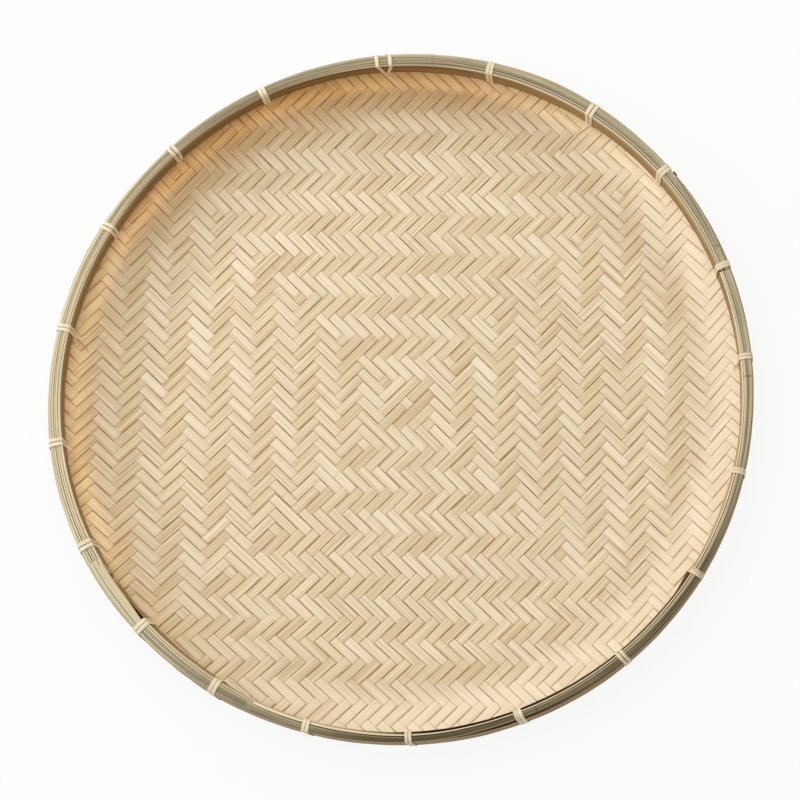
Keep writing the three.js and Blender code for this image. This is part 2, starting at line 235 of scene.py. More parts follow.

# %% [markdown]
# ## The finish of the woven strips
# The strips are split from the inside of the bamboo wall, so they have no green skin. They are pale
# straw, each one a slightly different tone, with fine fibres all along them, a browner line along each
# edge, partly the colour of the cut edge and partly painted shade of the gap beside it, and now and
# then the faint band of a node. A picture of wood would repeat; noise that is stretched along each
# strip does not, and it follows the strip over the dish because it reads how far along and across the
# strip a point lies. Nor is the wall one colour all round: painted warm shade makes it yellower and
# darker at the top and left, painted light makes it paler at the lower right, by the rim at the left
# and in the outermost ring on the upper left, painted shade darkens it further at the top, and it is
# darker from where it starts to rise. The edge that stands between the hoops is darkened
# with painted shade.

# %% Straw finishes
def straw_finish(name, pale, deep, line):
    finish = Finish(name, roughness=0.6)
    finish.shader.inputs["Specular IOR Level"].default_value = 0.25
    along, across = finish.grain()
    strip = finish.attribute("strip")
    edge = finish.attribute("edge")
    fibres = finish.noise(along * 8.0, across * 1200.0, strip * 91.0, detail=2.0, roughness=0.6)
    bands = finish.noise(along * 4.0, across * 330.0, strip * 37.0)
    patches = finish.noise(along * 14.0, across * 60.0, strip * 53.0)
    tone = strip * 0.4 + patches * 0.4 + bands * 0.9 - 0.45
    colour = finish.mixed(tone.between(0.0, 1.0), pale, deep)
    blush = finish.noise(along * 9.0, across * 170.0, strip * 71.0).between(0.5, 0.75)
    colour = finish.mixed(blush * 0.42, colour, (0.84, 0.63, 0.42))
    unripe = finish.noise(along * 12.0, across * 110.0, strip * 23.0).between(0.5, 0.72)
    colour = finish.mixed(unripe * 0.36, colour, (0.78, 0.70, 0.42))
    colour = finish.mixed(fibres.between(0.5, 0.7) * 0.3, colour, line)
    colour = finish.mixed((1.0 - fibres).between(0.5, 0.7) * 0.7, colour, (0.97, 0.88, 0.7))
    node_place = (along / 0.31 + strip * 7.0).maths("FRACT")
    off_node = (node_place - 0.5).maths("ABSOLUTE") + bands * 0.01 - 0.005
    node_band = 1.0 - off_node.between(0.001, 0.006)
    colour = finish.mixed(node_band * 0.12, colour, line)
    here = finish.node("TexCoord", out=3)
    x, y, z = (finish.node("SeparateXYZ", None, {0: here}, out=k) for k in range(3))
    radius = (x * x + y * y).maths("SQRT")

    def towards(angle):
        return (x * math.cos(math.radians(angle)) + y * math.sin(math.radians(angle))) / radius

    # Painted warm shade: the wall at the top and left is made yellower and darker, as its shade looks.
    warm_shade = towards(105).between(0.5, 0.97) * 0.55 + towards(150).between(-0.2, 0.8) * 0.45
    warm_shade = warm_shade * radius.between(0.235, 0.288)
    colour = finish.mixed(warm_shade, colour, (0.93, 0.66, 0.39), "MULTIPLY")
    # Painted light: the wall at the lower right, which faces the lamp, is made paler and lighter.
    painted_light = towards(-26).between(-0.3, 0.6) * radius.between(0.245, 0.275)
    colour = finish.mixed(painted_light * 0.5, colour, (0.99, 0.88, 0.70))
    # Painted light: by the rim at the left the straw is made lighter, against the hoop's shadow.
    shadow_lift = towards(172).between(0.65, 0.92) * radius.between(0.262, 0.284)
    outmost = radius.between(0.271, 0.281)
    # Painted light: the outermost ring on the upper-left half is made warmer and lighter than its
    # shade.
    rim_glow = towards(125).between(-0.3, 0.3) * outmost
    colour = finish.mixed(rim_glow, colour, (1.0, 0.98, 0.92), "MULTIPLY")
    # Painted shade: the slope at the top is made darker.
    painted_shade = towards(112).between(0.5, 0.85) * radius.between(0.242, 0.262) * (1.0 - outmost)
    gain = painted_light * 0.13 + shadow_lift * 0.3 + rim_glow * 0.18 - painted_shade * 0.16
    colour = finish.scaled(colour, gain + 1.0)
    colour = finish.mixed(radius.between(0.212, 0.245) * 0.5, colour, (0.84, 0.81, 0.76), "MULTIPLY")
    # The line along each edge is partly the brown of the cut edge and partly painted shade of the gap
    # beside it.
    side_strength = finish.noise(along * 20.0, across * 130.0, strip * 11.0).between(0.3, 0.65)
    side = edge.between(0.80, 0.97) * (side_strength * 0.75 + 0.25) * (1.0 - painted_light * 0.3)
    colour = finish.mixed(side, colour, line)
    # Painted shade: the mat's edge that stands between the hoops is darkened almost to black-brown.
    colour = finish.mixed(z.between(0.027, 0.032), colour, (0.26, 0.17, 0.08), "MULTIPLY")
    finish.feed("Base Color", colour)
    finish.feed("Roughness", fibres * 0.2 + 0.5)
    finish.bumped(fibres + bands * 0.8 + node_band * 0.6, 0.00015)
    return finish.material


line_brown = (0.34, 0.145, 0.02)
straw_rising = straw_finish("straw_rising", (0.84, 0.705, 0.48), (0.66, 0.50, 0.28), line_brown)
straw_falling = straw_finish("straw_falling", (0.90, 0.785, 0.585), (0.75, 0.60, 0.38), line_brown)
print("straw finishes made")

# %% [markdown]
# ## The finishes of the rim
# The hoops are thick strips of the bamboo wall: brown, coarse fibres, a little worn. The cap strips
# lie skin side up: olive green, smooth, streaked lengthwise, and cream along their cut sides. The
# ties are thin strips peeled from just below the skin, ivory and glossier. All three use the same
# stretched noise at their own scales.

# %% Rim finishes
def split_finish(name, pale, dark, cut, shine, relief):
    """Tone is the colour's place between dark and pale, which the mesh carries for each point."""
    finish = Finish(name, roughness=shine)
    finish.shader.inputs["Specular IOR Level"].default_value = 0.25
    along, across = finish.grain()
    strip = finish.attribute("strip")
    is_cut = finish.attribute("cut")
    age = finish.attribute("tone")
    fibres = finish.noise(along * 6.0, across * 950.0, strip * 71.0, detail=3.0)
    streaks = finish.noise(along * 3.0, across * 380.0, strip * 29.0)
    patches = finish.noise(along * 30.0, across * 120.0, strip * 13.0, detail=3.0)
    lines = (streaks - 0.5) * 1.1 + (fibres - 0.5) * 0.9 + (patches - 0.5) * 0.35
    colour = finish.mixed((age + lines + (strip - 0.5) * 0.15).between(-0.1, 1.1), dark, pale)
    split_line = finish.noise(along * 2.5, across * 620.0, strip * 17.0).between(0.6, 0.68)
    colour = finish.scaled(colour, 1.0 - split_line * 0.5)
    node_mark = finish.attribute("node")
    colour = finish.scaled(colour, 1.0 - node_mark * 0.5)
    flesh = finish.scaled(cut, (fibres * 0.6 + 0.5) * (age * 0.35 + 0.75))
    colour = finish.mixed(is_cut * (0.8 + patches * 0.3).between(0.0, 1.0), colour, flesh)
    finish.feed("Base Color", colour)
    finish.feed("Roughness", fibres * 0.25 + node_mark * 0.3 + (shine - 0.12))
    finish.bumped(fibres + streaks, relief)
    return finish.material


hoop_brown = split_finish(
    "hoop_brown", (0.50, 0.335, 0.14), (0.16, 0.072, 0.02), (0.70, 0.52, 0.28), 0.6, 0.0003
)
skin_olive = split_finish(
    "skin_olive", (0.75, 0.655, 0.435), (0.105, 0.08, 0.03), (0.88, 0.76, 0.53), 0.5, 0.00015
)
tie_ivory = split_finish(
    "tie_ivory", (0.92, 0.82, 0.61), (0.62, 0.44, 0.22), (0.74, 0.60, 0.38), 0.5, 0.0001
)
print("rim finishes made")

# %% [markdown]
# ## The shape that everything follows
# The mat's middle line leaves the flat floor in a wide arc, climbs at a gentle slope, and turns up
# between the hoops in a tight arc. The rim's section has its own axes: across the hoops' thickness,
# outwards, and up along the hoops, which lean out by 2 degrees. The numbers are those that the solids
# were made with, in metres. Bending by hand left the ring very slightly three-lobed. The lean and
# the lobes were fitted to the picture by separate programs.

# %% The dish and the rim's section
rim_radius, hoop_lean = 0.300, math.radians(2)
lobe_size, lobe_count, lobe_angle = 0.0012, 3, 73
seat_gap, mat_thickness = 0.0003, 0.0016
floor_radius, bend_radius, slope = 0.195, 0.110, math.radians(13.5)
corner_radius, edge_recess = 0.0024, 0.0004
hoop_top, hoop_round = 0.014, 0.0008
inner_thickness, outer_thickness, outer_drop = 0.0037, 0.0039, 0.008
side_reach = mat_thickness / 2 + seat_gap
outer_face = side_reach + outer_thickness
inner_face = -side_reach - inner_thickness
standing = math.pi / 2 - hoop_lean
climb = slope + hoop_lean

entry_radius = rim_radius - outer_face * math.cos(hoop_lean) - hoop_top * math.sin(hoop_lean)
bend_end_r = floor_radius + bend_radius * math.sin(slope)
bend_end_z = mat_thickness / 2 + bend_radius * (1 - math.cos(slope))
corner_r = entry_radius - corner_radius * (math.sin(standing) - math.sin(slope))
corner_z = bend_end_z + (corner_r - bend_end_r) * math.tan(slope)
entry_height = corner_z + corner_radius * (math.cos(slope) - math.cos(standing))


def from_section(across, up):
    """From the section's axes to a distance from the middle and a height."""
    return (
        entry_radius + across * np.cos(hoop_lean) + up * np.sin(hoop_lean),
        entry_height - across * np.sin(hoop_lean) + up * np.cos(hoop_lean),
    )


def wall_height(across, side):
    """The height of the sloping wall beside the hoops, on the section's axes."""
    start_across = -corner_radius * (1 - math.sin(climb))
    start_up = -corner_radius * math.cos(climb)
    return start_up + (across - start_across) * math.tan(climb) + side / math.cos(climb)


mouth_radius = from_section(inner_face, 0)[0]


def on_ring(angle, radius, height):
    """A point at a plan angle in degrees. Only the flat floor keeps clear of the lobes."""
    share = np.clip((radius - floor_radius) / (mouth_radius - floor_radius), 0, 1)
    lobe = lobe_size * np.cos(np.radians(lobe_count * (angle - lobe_angle)))
    r = radius + lobe * share * share * (3 - 2 * share)
    turn = np.radians(angle)
    return np.stack(np.broadcast_arrays(r * np.cos(turn), r * np.sin(turn), height), axis=-1)


bend_arc = bend_radius * slope
wall_length = (corner_r - bend_end_r) / math.cos(slope)
corner_arc = corner_radius * (standing - slope)
arc_marks = np.cumsum([floor_radius, bend_arc, wall_length, corner_arc])
mat_reach = arc_marks[-1] + hoop_top - edge_recess


def dish(arc):
    """Distance from the middle, height and steepness of the mat's middle, from the arc's length."""
    bent = (arc - arc_marks[0]) / bend_radius
    climbed = arc - arc_marks[1]
    turned = slope + (arc - arc_marks[2]) / corner_radius
    stood = arc - arc_marks[3]
    zones = [arc < mark for mark in arc_marks]
    r = np.select(zones, [
        arc,
        floor_radius + bend_radius * np.sin(bent),
        bend_end_r + climbed * np.cos(slope),
        corner_r + corner_radius * (np.sin(turned) - np.sin(slope)),
    ], entry_radius + stood * np.cos(standing))
    z = np.select(zones, [
        np.full_like(arc, mat_thickness / 2),
        mat_thickness / 2 + bend_radius * (1 - np.cos(bent)),
        bend_end_z + climbed * np.sin(slope),
        corner_z + corner_radius * (np.cos(slope) - np.cos(turned)),
    ], entry_height + stood * np.sin(standing))
    steep = np.select(zones, [np.zeros_like(arc), bent, np.full_like(arc, slope), turned], standing)
    return r, z, steep


print("mat: reaches", round(1000 * mat_reach, 1), "mm from the middle, over the dish")

# %% [markdown]
# ## One way to make every strip
# Hoops, cap splints, ties and the mat's strips are all long, thin and closed. Each starts as a flat
# grid with a row for each station along the strip and a column for each corner of its outline. The
# corners are moved into place, the last column meets the first, and the outer rows shrink to a point
# that closes the ends. Merging the doubles then sews the sheet into a closed tube. A sweep along a
# curve is the other way, but it can't change the outline on the way, as lapped ends need.

# %% Tubes out of grids
shortest_step = 0.0004
bake_margin, fold_margin = 0.004, 0.06
sewing_distance = 1e-6


def deselect_all():
    if bpy.context.object and bpy.context.object.mode != "OBJECT":
        bpy.ops.object.mode_set(mode="OBJECT")
    bpy.ops.object.select_all(action="DESELECT")


def set_numbers(mesh, name, values, domain="POINT"):
    mesh.attributes.new(name, "FLOAT", domain).data.foreach_set("value", np.ravel(values))


def rolled(rings, row, rows, folds=1, strip=0.5, columns=None, begin=0.0):
    """A grid whose columns go round the outline and whose rows go along the strip. Its bake map has
    the strip cut into folds that lie one above the other, in its own rows of the whole piece's."""
    closed = np.concatenate([rings, rings[:, :1]], axis=1)
    ends = [closed[i, :-1].mean(axis=0) * np.ones_like(closed[i]) for i in (0, -1)]
    points = np.concatenate([ends[:1], closed, ends[1:]])
    stations, corners = points.shape[:2]
    deselect_all()
    bpy.ops.mesh.primitive_grid_add(x_subdivisions=corners - 1, y_subdivisions=stations - 1, size=2)
    sheet = bpy.context.object
    mesh = sheet.data
    flat = np.empty(3 * len(mesh.vertices))
    mesh.vertices.foreach_get("co", flat)
    flat = flat.reshape(-1, 3)
    column = np.rint((flat[:, 0] + 1) / 2 * (corners - 1)).astype(int)
    line = np.rint((flat[:, 1] + 1) / 2 * (stations - 1)).astype(int)
    mesh.vertices.foreach_set("co", points[line, column].ravel())

    middle = points[:, :-1].mean(axis=1)
    steps = np.linalg.norm(np.diff(middle, axis=0), axis=1)
    along = np.concatenate([[0], np.cumsum(np.maximum(steps, shortest_step))])
    sides = np.linalg.norm(np.diff(closed[len(closed) // 2], axis=0), axis=1)
    around = np.concatenate([[0], np.cumsum(sides)])
    corner = np.empty(len(mesh.loops), int)
    mesh.loops.foreach_get("vertex_index", corner)
    grain = mesh.uv_layers[0]
    grain.name = "Grain"
    grain.data.foreach_set("uv", np.stack([along[line] + begin, around[column]], 1)[corner].ravel())

    first = line[corner].reshape(-1, 4).min(axis=1)
    fold = np.minimum(first * folds // (stations - 1), folds - 1)
    start = -(-fold * (stations - 1) // folds)
    stop = -(-(fold + 1) * (stations - 1) // folds)
    start, stop, fold = (np.repeat(x, 4) for x in (start, stop, fold))
    u = (along[line[corner]] - along[start]) / (along[stop] - along[start])
    v = around[column[corner]] / around[-1]
    u = bake_margin + (1 - 2 * bake_margin) * u
    v = row * folds + fold + fold_margin + (1 - 2 * fold_margin) * v
    bake = mesh.uv_layers.new(name="OFBake")
    bake.data.foreach_set("uv", np.stack([u, v / (rows * folds)], 1).ravel())

    set_numbers(mesh, "strip", np.full(len(mesh.vertices), strip))
    for name, values in (columns or {}).items():
        table = np.concatenate([values[:1], values, values[-1:]])
        set_numbers(mesh, name, np.concatenate([table, table[:, :1]], axis=1)[line, column])
    return sheet


def sewn(name, sheets, finish, nodes, angle=40):
    """The sheets joined into one piece, sewn shut, shaded and put on the frame."""
    deselect_all()
    for sheet in sheets:
        sheet.select_set(True)
    bpy.context.view_layer.objects.active = sheets[0]
    if len(sheets) > 1:
        bpy.ops.object.join()
    piece = bpy.context.object
    piece.name = piece.data.name = name
    bpy.ops.object.mode_set(mode="EDIT")
    bpy.ops.mesh.select_all(action="SELECT")
    bpy.ops.mesh.remove_doubles(threshold=sewing_distance)
    bpy.ops.mesh.normals_make_consistent(inside=False)
    bpy.ops.object.mode_set(mode="OBJECT")
    bpy.ops.object.shade_smooth_by_angle(angle=math.radians(angle))
    piece.data.materials.clear()
    piece.data.materials.append(finish)
    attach(piece, "root")
    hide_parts(*nodes)
    triangles = sum(len(face.vertices) - 2 for face in piece.data.polygons)
    print(f"{name}: {len(sheets)} strips, {triangles} triangles")
    return piece


print("grids can be rolled and sewn")

# %% [markdown]
# ## The weave
# Strips of the two directions cross at right angles, at 45 degrees to the tray. The cell where strip
# i of one direction meets strip j of the other is numbered from the middle, and the sum of the two
# numbers, without their signs, says which one is on top: three cells over, three under, a step
# further at each neighbour. Because the signs are left out, the zigzags turn at the middle lines and
# the whole mat shows one square inside another. The spacings and the weave's middle come from the
# same fit to the picture as the camera.

# %% Over and under
pitch_rising, pitch_falling = 0.00890, 0.00860
weave_middle = (0.0031, -0.0014)
strip_thickness, strip_tilt, strip_arch = 0.0004, 0.0001, 0.00005
weave_height = 0.00027
crossing_share = 0.25
rising_on_top = (1, 2, 3)


def is_over(rising, i, j):
    on_top = np.isin((abs(i) + abs(j)) % 6, rising_on_top)
    return on_top if rising else ~on_top


# How far the weave has drifted, in millimetres: a factor for each pair of powers of x and y. The
# factors are the result of a least-squares fit to the picture that a separate program made.
drift_x = {
    (1, 0): -2.0, (0, 1): -2.9, (2, 0): -5.6, (1, 1): -5.7, (0, 2): 3.2,
    (3, 0): 2.7, (2, 1): 11.4, (1, 2): 4.2, (0, 3): -4.0,
}
drift_y = {
    (0, 1): -2.1, (2, 0): -4.4, (3, 0): 10.0, (2, 1): 3.7, (1, 2): -2.7, (1, 3): -5.7, (0, 4): -3.8,
}


def drifted(x, y):
    """Strips that were laid by hand bow a little, most of all towards the edge."""
    a, b = x / rim_radius, y / rim_radius
    move_x, move_y = (
        sum(size * a ** i * b ** j for (i, j), size in drift.items()) / 1000
        for drift in (drift_x, drift_y)
    )
    return x + move_x, y + move_y


def waving(rising, index, cells):
    """The height of a strip along its length, which is given in cells of the other direction."""
    nearest = np.floor(cells + 0.5)
    beyond = nearest + np.where(cells >= nearest, 1, -1)
    here = np.where(is_over(rising, index, nearest), 1.0, -1.0)
    there = np.where(is_over(rising, index, beyond), 1.0, -1.0)
    to_border = 0.5 - abs(cells - nearest)
    share = np.clip(0.5 - to_border / (2 * crossing_share), 0, 0.5)
    blend = share * share * (3 - 2 * share)
    return weave_height * (here * (1 - blend) + there * blend)


print("weave: a strip every", 1000 * pitch_rising, "and", 1000 * pitch_falling, "mm")

# %% [markdown]
# ## Strips that are cut by hand
# No two strips are equally wide, and they wander, so the gap between two neighbours opens and
# closes along its way. The line between two neighbours is drawn first, as a few slow waves, and both
# strips keep a little away from it. That way they never overlap, however much they wander.

# %% The lines between neighbours
seeds = np.random.default_rng(60)
strip_wander = 0.0005
widest_opening = 0.00034


def slow_waves(lengths, size):
    """A sum of sine waves with given wavelengths and a random phase and strength for each."""
    phases = seeds.uniform(0, 2 * math.pi, len(lengths))
    strengths = seeds.uniform(0.4, 1.0, len(lengths)) * size / len(lengths)

    def height(t):
        t = np.asarray(t)[..., None]
        return (strengths * np.sin(2 * math.pi * t / np.array(lengths) + phases)).sum(axis=-1)

    return height


def border_line():
    wander = slow_waves([0.33, 0.14, 0.071], strip_wander)
    opening = slow_waves([0.19, 0.083, 0.047, 0.029], 1.0)
    usual = seeds.uniform(0.00006, 0.00022)

    def line(t, side):
        gap = usual + widest_opening * np.clip(opening(t), 0, 1) ** 1.5
        return wander(t) + side * gap

    return line


strip_outline = np.array([
    (-1.0, 0.0), (-0.955, 0.85), (-0.4, 1.0), (0.4, 1.0), (0.955, 0.85),
    (1.0, 0.0), (0.955, -0.85), (0.4, -1.0), (-0.4, -1.0), (-0.955, -0.85),
])
cell_rows = np.array([-0.5, -0.37, -0.2, 0.0, 0.2, 0.37])
cut_allowance = 0.009


def mat_strip(rising, index, borders, row, rows):
    """One strip of the mat, laid over the dish, with its ends cut to the mat's round edge."""
    own, other = (pitch_rising, pitch_falling) if rising else (pitch_falling, pitch_rising)
    near_edge = max(0.0, abs(index) - 0.5) * own
    beyond = mat_reach + cut_allowance
    half_length = math.sqrt(beyond ** 2 - near_edge ** 2)
    cell_count = int(half_length / other + 1.5)
    cells = (np.arange(-cell_count, cell_count + 1)[:, None] + cell_rows).ravel()
    cells = cells[(cells > -half_length / other - 0.2) & (cells < half_length / other + 0.2)]
    t = (cells * other)[:, None]
    low = (index - 0.5) * own + borders[index - 1](t, 1)
    high = (index + 0.5) * own + borders[index](t, -1)
    side, face = strip_outline[:, 0], strip_outline[:, 1]
    width = low + (high - low) * (side + 1) / 2
    reach = np.sqrt(np.maximum(beyond ** 2 - width ** 2, 1e-8))
    length = np.clip(t, -reach, reach)
    tilt = slow_waves([0.11, 0.052], strip_tilt)(t) * side
    arch = slow_waves([0.09, 0.04], strip_arch)(t)
    height = waving(rising, index, cells)[:, None] + face * strip_thickness / 2 + tilt + arch
    u, v = (width, length) if rising else (length, width)
    x, y = drifted(
        (u + v) / math.sqrt(2) + weave_middle[0],
        (v - u) / math.sqrt(2) + weave_middle[1],
    )
    arc = np.minimum(np.hypot(x, y), mat_reach)
    r, z, steep = dish(arc)
    angle = np.degrees(np.arctan2(y, x))
    rings = on_ring(angle, r - height * np.sin(steep), z + height * np.cos(steep))
    edge = np.broadcast_to(abs(side), rings.shape[:2])
    return rolled(
        rings, row, rows, folds=2, strip=seeds.uniform(), columns={"edge": edge},
        begin=seeds.uniform(0, 3),
    )


print("a mat strip:", len(strip_outline), "corners,", len(cell_rows), "rows to a cell")

# %% [markdown]
# ## Laying the mat
# The strips of each direction are laid from one side to the other and sewn into pieces of nine, so
# that no piece has too many faces.

# %% The mat's strips
strips_per_piece = 9
for rising, finish in ((True, straw_rising), (False, straw_falling)):
    pitch = pitch_rising if rising else pitch_falling
    last = int(mat_reach / pitch + 0.5)
    borders = {k: border_line() for k in range(-last - 1, last + 1)}
    indices = list(range(-last, last + 1))
    for number, begin in enumerate(range(0, len(indices), strips_per_piece), 1):
        group = indices[begin:begin + strips_per_piece]
        sheets = [mat_strip(rising, i, borders, k, len(group)) for k, i in enumerate(group)]
        name = f"mat_strips_{'rising' if rising else 'falling'}_{number}"
        sewn(name, sheets, finish, ["woven_mat"])

# %% [markdown]
# ## Uneven all round
# A ring of split bamboo that was bent by hand is thicker here and thinner there. The inner hoop's
# foot reaches further in at the upper right and the lower left, the cap strips spread wide at the
# lower left and are narrow at the lower right, and the outer hoop bulges out a little in places.
# The widths were read off the picture at some forty places, turned into millimetres by a separate
# program, and then thinned out and corrected by hand. Each runs smoothly from one place to the next.
# The plan angles of the laps, the splits and the ties were found in the same way.

# %% Sizes that change round the ring
def around(angle, sizes):
    """A size in millimetres, known at a few plan angles, smoothed in between, in metres."""
    near = np.asarray(angle, float)[..., None] + np.linspace(-4, 4, 5)
    return np.interp(near, list(sizes), list(sizes.values()), period=360).mean(axis=-1) / 1000


def column_around(angles, numbers):
    """Plain numbers, smoothed in the same way, with a row for each angle."""
    return 1000 * around(angles, numbers)[:, None]


inner_swelling = {
    0: 1.2, 20: 1.7, 34: 2.4, 50: 2.9, 65: 2.6, 80: 1.8, 90: 0.8, 98: -0.6, 115: -1.6, 125: -0.9,
    145: 0.0, 170: 0.6, 192: 1.4, 202: 2.5, 210: 3.8, 218: 4.6, 230: 5.4, 238: 4.2, 244: 1.8,
    253: -0.6, 274: -2.6, 282: -1.4, 291: -0.2, 300: 0.5, 319: 0.4, 338: 0.2, 350: 0.3,
}
outer_swelling = {
    18: 0.0, 30: 0.9, 42: 0.0, 56: 0.1, 65: 1.2, 76: 0.0, 145: 0.0, 156: 1.0, 168: 0.0,
    230: 0.0, 241: 1.0, 252: 0.0, 300: 0.3, 340: 0.0,
}
cap_outer_places = {
    0: 3.9, 45: 4.3, 65: 3.6, 85: 4.3, 225: 4.3, 240: 5.0, 262: 6.0, 274: 5.5, 283: 4.4,
    291: 3.1, 301: 3.1, 312: 3.8, 330: 4.3, 350: 3.8,
}
cap_inner_places = {
    0: -4.5, 19: -5.1, 34: -5.1, 45: -6.0, 60: -6.9, 80: -6.4, 90: -6.1, 100: -5.1, 106: -5.0,
    115: -2.9, 125: -3.6, 145: -4.3, 156: -4.7, 171: -5.3, 183: -6.2, 202: -6.9, 217: -7.3,
    227: -7.9, 238: -6.1, 253: -3.5, 262: -2.7, 274: -0.9, 281: -1.5, 291: -2.5, 310: -3.1, 348: -3.1,
}


def inner_swell(angle):
    return around(angle, inner_swelling)


def cap_outer(angle):
    return around(angle, cap_outer_places)


def cap_inner(angle):
    return around(angle, cap_inner_places)


cap_widths = [round(1000 * float(cap_outer(a) - cap_inner(a)), 1) for a in range(0, 360, 60)]
print("cap width, mm:", cap_widths)

# %% [markdown]
# ## The hoops
# Each hoop is one thick strip bent into a ring. Its two ends are thinned and lapped, so that the
# ring keeps an even thickness. The front end stops short of a step in the back end, which leaves a
# notch in the face. The section changes all along the lap, which the rolled grid allows.

# %% Lapped hoops
step_cut = 1.4
corner_share = 0.3


def stations_between(start, end, step=1.0, marks=()):
    even = np.linspace(start, end, max(2, int(math.ceil((end - start) / step)) + 1))
    near = [mark + off for mark in marks for off in (-0.22, 0, 0.22) if start < mark < end]
    return np.sort(np.concatenate([even, near]))


def lapped_hoop(lap_angle, lap_length, thickness, tip, notch_length, outline):
    """The outlines from the front end's tip round to the back end, marked where the step is cut."""
    lap = math.degrees(lap_length / rim_radius)
    end_gap = math.degrees(seat_gap / rim_radius)
    notch = math.degrees(notch_length / rim_radius)

    def joint(angle):
        share = min(max((angle - lap_angle) / lap, 0), 1)
        return tip * (1 - share) + (thickness - tip - seat_gap) * share

    rings = []
    for angle in stations_between(lap_angle, lap_angle + lap + end_gap):
        rings.append((angle, outline(angle, 0, joint(angle)), 0))
    for angle in stations_between(lap_angle + lap + end_gap, lap_angle + 360 - notch):
        is_step = int(angle > lap_angle + 360 - step_cut - notch)
        rings.append((angle, outline(angle, 0, thickness), is_step))
    for angle in stations_between(lap_angle + 360 - notch, lap_angle + 360 + lap):
        rings.append((angle, outline(angle, joint(angle - 360) + seat_gap, thickness), 0))
    return rings


def ring_points(rings, roughness=0.0):
    """The rings' corners in space, each face a little uneven as split bamboo is."""
    count = len(rings[0][1])
    uneven = [slow_waves([23.0, 11.0, 5.3], roughness) for _ in range(count)]
    made = []
    for angle, outline, *_ in rings:
        outline = np.array(outline)
        off = np.array([wave(angle) for wave in uneven])
        r, z = from_section(outline[:, 0] + off, outline[:, 1] + np.roll(off, 1))
        made.append(on_ring(angle, r, z))
    return np.array(made)


def inner_foot(across):
    clear_arc = corner_radius - mat_thickness / 2 - seat_gap
    arc_end = -corner_radius + clear_arc * math.sin(climb)
    if across <= arc_end:
        return wall_height(across, mat_thickness / 2 + seat_gap)
    start = wall_height(arc_end, mat_thickness / 2 + seat_gap)
    return start * (1 - (across - arc_end) / (-side_reach - arc_end))


def rounded_top(near, far, round_off):
    """The outline over a strip's top edge, from its far side to its near side."""
    s = round_off * corner_share
    return [
        (far, hoop_top - round_off), (far - s, hoop_top - s), (far - round_off, hoop_top),
        (near + round_off, hoop_top), (near + s, hoop_top - s), (near, hoop_top - round_off),
    ]


top_share = 0.6


def inner_outline(angle, front_depth, back_depth):
    """The swelling is widest at the foot, and none is left at the side that lies on the mat."""
    swell = float(inner_swell(angle))

    def depth(d, share):
        return inner_face + d - swell * share * (1 - d / inner_thickness)

    near, far = depth(front_depth, 1), depth(back_depth, 1)
    near_top, far_top = depth(front_depth, top_share), depth(back_depth, top_share)
    middle = near + (far - near) * 0.75
    round_off = min(hoop_round, (far_top - near_top) / 3)
    foot, high = inner_foot(near), hoop_top - round_off
    face = [(near_top + (near - near_top) * s, high + (foot - high) * s) for s in (0.2, 0.4, 0.6, 0.8)]
    bottom = [(near, foot), (middle, inner_foot(middle)), (far, inner_foot(far))]
    return bottom + rounded_top(near_top, far_top, round_off) + face


def outer_outline(angle, front_depth, back_depth):
    swell = float(around(angle, outer_swelling))
    near, far = (outer_face - d + swell * (1 - d / outer_thickness) for d in (back_depth, front_depth))
    round_off = min(hoop_round, (far - near) / 3)
    low, high = round_off - outer_drop, hoop_top - round_off
    side = [(far, low + (high - low) * s) for s in (0, 0.25, 0.5, 0.75)]
    bottom = [(near, -outer_drop), (far - round_off, -outer_drop)]
    return bottom + side + rounded_top(near, far, round_off)


hoop_tones = {0: 0.42, 30: 0.62, 60: 0.85, 80: 0.55, 105: 0.3, 140: 0.35, 165: 0.6, 200: 0.7, 300: 0.5}
hoop_unevenness = 0.00025


def hoop_piece(name, node, rings, cut_corners, strip, dirt_and_shade):
    """The cut corners are the top edge, which is pale except where it is darkened, partly by soiling
    and partly as painted shade in the gap under the cap's edge.
    """
    points = ring_points(rings, hoop_unevenness)
    angles = np.array([ring[0] for ring in rings])
    dark = column_around(angles, dirt_and_shade)
    cut = np.zeros(points.shape[:2])
    cut[:, cut_corners] = 0.8 * (1 - dark)
    cut[[0, -1]] = 0.6
    cut[np.array([ring[2] for ring in rings]) > 0] = 1.0
    tone = column_around(angles, hoop_tones) + np.zeros(cut.shape)
    tone[:, cut_corners] -= 0.6 * dark
    mark = np.zeros(cut.shape)
    mark[:, cut_corners] = 1.7 * dark
    sheet = rolled(points, 0, 1, 6, strip, {"cut": cut, "node": mark, "tone": tone})
    return sewn(name, [sheet], hoop_brown, [node], angle=50)


inner_rings = lapped_hoop(-145.5, 0.150, inner_thickness, 0.0016, 0.009, inner_outline)
outer_rings = lapped_hoop(40.4, 0.150, outer_thickness, 0.0018, 0.0085, outer_outline)
# The darkened stretches of each hoop's top edge are partly soiling and partly painted shade in the gap
# under the cap's edge.
hoop_piece("hoop_inner", "inner_hoop", inner_rings, slice(4, 9), 0.3, {
    14: 0, 17: 0.7, 21: 0.7, 25: 0, 171: 0, 174: 0.7, 181: 0.7, 184: 0,
    212: 0, 215: 1, 227: 1, 230: 0, 266: 0, 273: 1, 292: 1, 323: 0.6, 328: 0,
})
hoop_piece("hoop_outer", "outer_hoop", outer_rings, slice(7, 12), 0.6, {
    15: 0, 18: 0.7, 21: 0.7, 25: 0, 256: 0, 264: 0.8, 290: 1, 302: 0.65, 325: 0.65, 345: 0,
})

# %% [markdown]
# ## The cap strips
# Two flat strips of bamboo cover the mat's cut edge, skin side up. Each is wide at its root and split
# lengthwise beyond it, so that it bends round the ring without breaking. The splints lie side by
# side, never quite level or parallel, and their cut sides show as cream lines between olive faces.
# The skin is pale on the left, where it has dried out, and still dark on the lower right. The tones
# and the painted shade on the splints' sides were set against mean colours measured in the picture
# and in the render.

